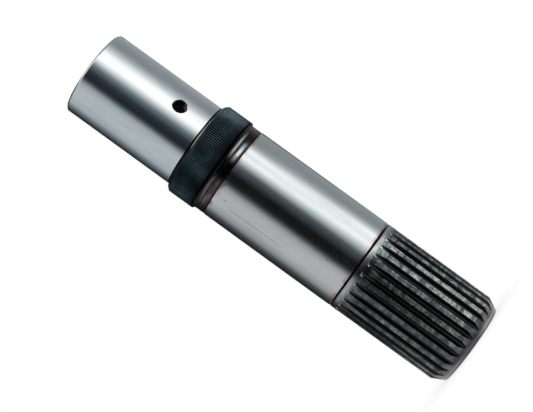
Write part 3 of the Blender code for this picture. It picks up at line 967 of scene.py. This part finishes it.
def build_shaft():
    """The shaft's skin with its five materials, in place of the CAD's shaft."""
    groups = {
        "grinding": grinding_group(),
        "temper": temper_group(),
        "mottle": mottle_group(),
        "scratch": scratch_group(),
    }
    shaft = new_object("shaft_skin", shaft_mesh())
    for make in (ground_steel, black_oxide, neck_scale, spline_scale, turned_steel):
        shaft.data.materials.append(make(groups))
    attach(shaft, "root")
    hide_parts("stator_support_shaft")


def grid_mesh(name, points, closed):
    """Faces between the rows of a grid of points; if closed, its last column meets the first."""
    rows, columns = points.shape[:2]
    numbers = np.arange(rows * columns).reshape(rows, columns)
    if closed:
        numbers = np.concatenate([numbers, numbers[:, :1]], axis=1)
    corners = (numbers[:-1, :-1], numbers[:-1, 1:], numbers[1:, 1:], numbers[1:, :-1])
    faces = np.stack(corners, axis=-1).reshape(-1, 4)
    mesh = bpy.data.meshes.new(name)
    mesh.from_pydata(points.reshape(-1, 3).tolist(), [], faces.tolist())
    mesh.update()
    return mesh


# The light tent's panels and flags: angle from the camera's side, brightness low down and high up
TENT_PANELS = [
    (-180, 0.03, 0.03),
    (-145, 0.03, 0.06),
    (-125, 0.11, 0.27),
    (-105, 0.46, 0.63),
    (-82, 0.66, 0.73),
    (-52, 0.64, 0.72),
    (-40, 0.52, 0.58),
    (-27, 0.08, 0.10),
    (-20, 0.015, 0.03),
    (-2, 0.010, 0.06),
    (14, 0.09, 0.28),
    (22, 0.16, 0.64),
    (38, 0.86, 1.60),
    (50, 1.50, 1.66),
    (62, 1.18, 1.52),
    (77, 1.55, 0.88),
    (88, 0.86, 0.58),
    (100, 0.46, 0.40),
    (112, 0.37, 0.39),
    (160, 0.40, 0.50),
    (180, 0.03, 0.03),
]
TENT_RADIUS = 0.20
# Heights of the wall's rows, and how far the key panels hang aslant at each
TENT_HEIGHTS = np.array([0.002, 0.045, 0.122, 0.143, 0.20, 0.36, 0.6])
TENT_SLANTS = np.array([-0.3, -0.3, 1.5, 0.0, 0.6, 0.6, 0.6])
LOW_PANELS_TOP = 0.122
LOW_TO_HIGH = 0.021
CAMERA_ANGLE = -120.0


def panel_brightness(angles):
    """The table's low and high brightness at the wall's angles, as two grids of (height, angle, 1).

    What leaves the journal at an angle b from the camera's side starts at b / 2 on the journal, so
    it meets the wall at b - asin(journal radius / tent radius * sin(b / 2)), and the table's angles
    are carried there. The key panels hang a little aslant: where they are seen at b degrees, the
    table is read at b + slant * (0 up to 20 degrees, 4 at 45, 9 from 90 on).
    """
    spots, low, high = np.array(TENT_PANELS, float).T
    seen = np.arange(-180, 181, 1.0)
    shift = np.arcsin(MAIN_JOURNAL_RADIUS * MM / TENT_RADIUS * np.sin(np.radians(seen / 2)))
    wall = seen - np.degrees(shift)
    slanted = seen + TENT_SLANTS[:, None] * np.interp(seen, (20, 45, 90), (0, 4, 9))

    def on_wall(column):
        """One column of the table, read at each height and angle of the wall."""
        rows = [np.interp(angles, wall, np.interp(row, spots, column)) for row in slanted]
        return np.array(rows)[..., None]

    return on_wall(low), on_wall(high)


def panel_colours(angles):
    """The wall's colours: each brightness times a tint that is bluer where it is dim.

    The low panels go over into the high ones evenly, from LOW_PANELS_TOP over LOW_TO_HIGH.
    """
    low, high = panel_brightness(angles)
    low_tint = (0.80, 0.89, 1.0) + np.clip(low / 0.5, 0, 1) * (0.15, 0.10, 0.0)
    low_tint = low_tint - (angles > 0)[:, None] * (0.07, 0.0, 0.0)
    low_tint = low_tint + np.clip(low - 0.9, 0, 0.4) * (0.12, 0.0, 0.0)
    high_tint = (0.56, 0.78, 1.0) + np.clip(high / 0.5, 0, 1) * (0.31, 0.20, 0.0)
    high_tint = high_tint + np.clip(high - 0.7, 0, 0.8) * (0.14, 0.0, 0.0)
    upper = np.clip((TENT_HEIGHTS - LOW_PANELS_TOP) / LOW_TO_HIGH, 0, 1)[:, None, None]
    return low * low_tint * (1 - upper) + high * high_tint * upper


def light_tent():
    """A round tent of soft panels and black flags that the steel mirrors; it lights nothing else.

    Its wall is a cylinder: radius * (cos, sin) of the angle, by height.
    """
    angles = np.arange(-180, 180, 1.0)
    turns = np.radians(CAMERA_ANGLE + angles)
    across = TENT_RADIUS * np.stack([np.cos(turns), np.sin(turns)], axis=-1)
    across = np.broadcast_to(across, (len(TENT_HEIGHTS), *across.shape))
    up = np.broadcast_to(TENT_HEIGHTS[:, None, None], (*across.shape[:2], 1))
    mesh = grid_mesh("light_tent", np.concatenate([across, up], axis=-1), True)
    colour = panel_colours(angles)
    colour = np.concatenate([colour, np.ones((*colour.shape[:2], 1))], axis=-1)
    panels = mesh.attributes.new("panels", "FLOAT_COLOR", "POINT")
    panels.data.foreach_set("color", colour.astype(np.float32).ravel())
    material = bpy.data.materials.new("tent_panels")
    material.use_nodes = True
    tree = material.node_tree
    tree.nodes.clear()
    light = place(tree, "ShaderNodeAttribute", {"attribute_name": "panels"}).outputs["Color"]
    glow = place(tree, "ShaderNodeEmission", Color=light)
    place(tree, "ShaderNodeOutputMaterial", Surface=glow.outputs[0])
    mesh.materials.append(material)
    tent = new_object("light_tent", mesh)
    tent.visible_camera = tent.visible_diffuse = False
    tent.visible_shadow = tent.visible_transmission = False
    tent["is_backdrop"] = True


# Half the floor's side, its height just under the shaft, and the glow that brings it to white
FLOOR_REACH = 12.0
FLOOR_HEIGHT = -0.0002
FLOOR_GLOW = 0.68


def floor():
    """A large flat white floor: its plain diffuse part keeps the shaft's soft shadow.

    Its glow is seen by the camera and in the steel, and lights nothing.
    """
    side = np.linspace(-FLOOR_REACH, FLOOR_REACH, 25)
    across, back = np.meshgrid(side, side)
    flat = np.stack([across, back, np.full(across.shape, FLOOR_HEIGHT)], axis=-1)
    mesh = grid_mesh("floor", flat, False)
    material, tree, shader, vector = new_material("floor_white")
    tint = mapped(tree, noise(tree, vector, 3.0, 2.0), 0.3, 0.7, 0.36, 0.38)
    feed(tree, shader, Base_Color=tint, Roughness=0.9, Specular_IOR_Level=0.0)
    path = tree.nodes.new("ShaderNodeLightPath").outputs
    rays = ("Is Camera Ray", "Is Glossy Ray", "Is Transmission Ray")
    seen = largest(tree, *[path[ray] for ray in rays])
    feed(tree, shader, Emission_Color=(1, 1, 1, 1), Emission_Strength=times(tree, seen, FLOOR_GLOW))
    mesh.materials.append(material)
    new_object("floor", mesh)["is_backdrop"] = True


def white_world():
    """An even white studio all round."""
    world = bpy.data.worlds.new("white_studio")
    bpy.context.scene.world = world
    world.use_nodes = True
    tree = world.node_tree
    feed(tree, tree.nodes["Background"], Color=(1, 1, 1, 1), Strength=1.0)


def camera():
    """The photograph's view: from beside the shaft, turned so that the shaft lies aslant.

    Rise and pan turn the view up along the shaft and across it; roll turns the picture.
    """
    distance, height = 0.6551, 0.0567
    rise, pan, roll = 0.0506, math.radians(-0.22), math.radians(35.9)
    facing = math.radians(CAMERA_ANGLE)
    spot = Vector((distance * math.cos(facing), distance * math.sin(facing), height))
    level = Vector((-math.cos(facing), -math.sin(facing), 0.0))
    up = Vector((math.cos(facing + math.pi / 2), math.sin(facing + math.pi / 2), 0.0))
    ahead = level * math.cos(rise) + Vector((0, 0, math.sin(rise)))
    ahead = ahead * math.cos(pan) + up * math.sin(pan)
    right = ahead.cross(up).normalized()
    up = right.cross(ahead)
    turned_right = right * math.cos(roll) + up * math.sin(roll)
    turned_up = up * math.cos(roll) - right * math.sin(roll)
    data = bpy.data.cameras.new("camera")
    data.sensor_width = 36.0
    data.lens = 121.1
    data.clip_start, data.clip_end = 0.05, 60.0
    made = new_object("camera", data)
    turn = Matrix((turned_right, turned_up, -ahead)).transposed().to_4x4()
    made.matrix_world = Matrix.Translation(spot) @ turn
    bpy.context.scene.camera = made


build_shaft()
light_tent()
floor()
white_world()
camera()
bpy.context.scene.view_settings.view_transform = "Standard"

boxes = {"cad": cad_box, "visual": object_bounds()}
boxes = {name: [[float(v) for v in corner] for corner in box] for name, box in boxes.items()}
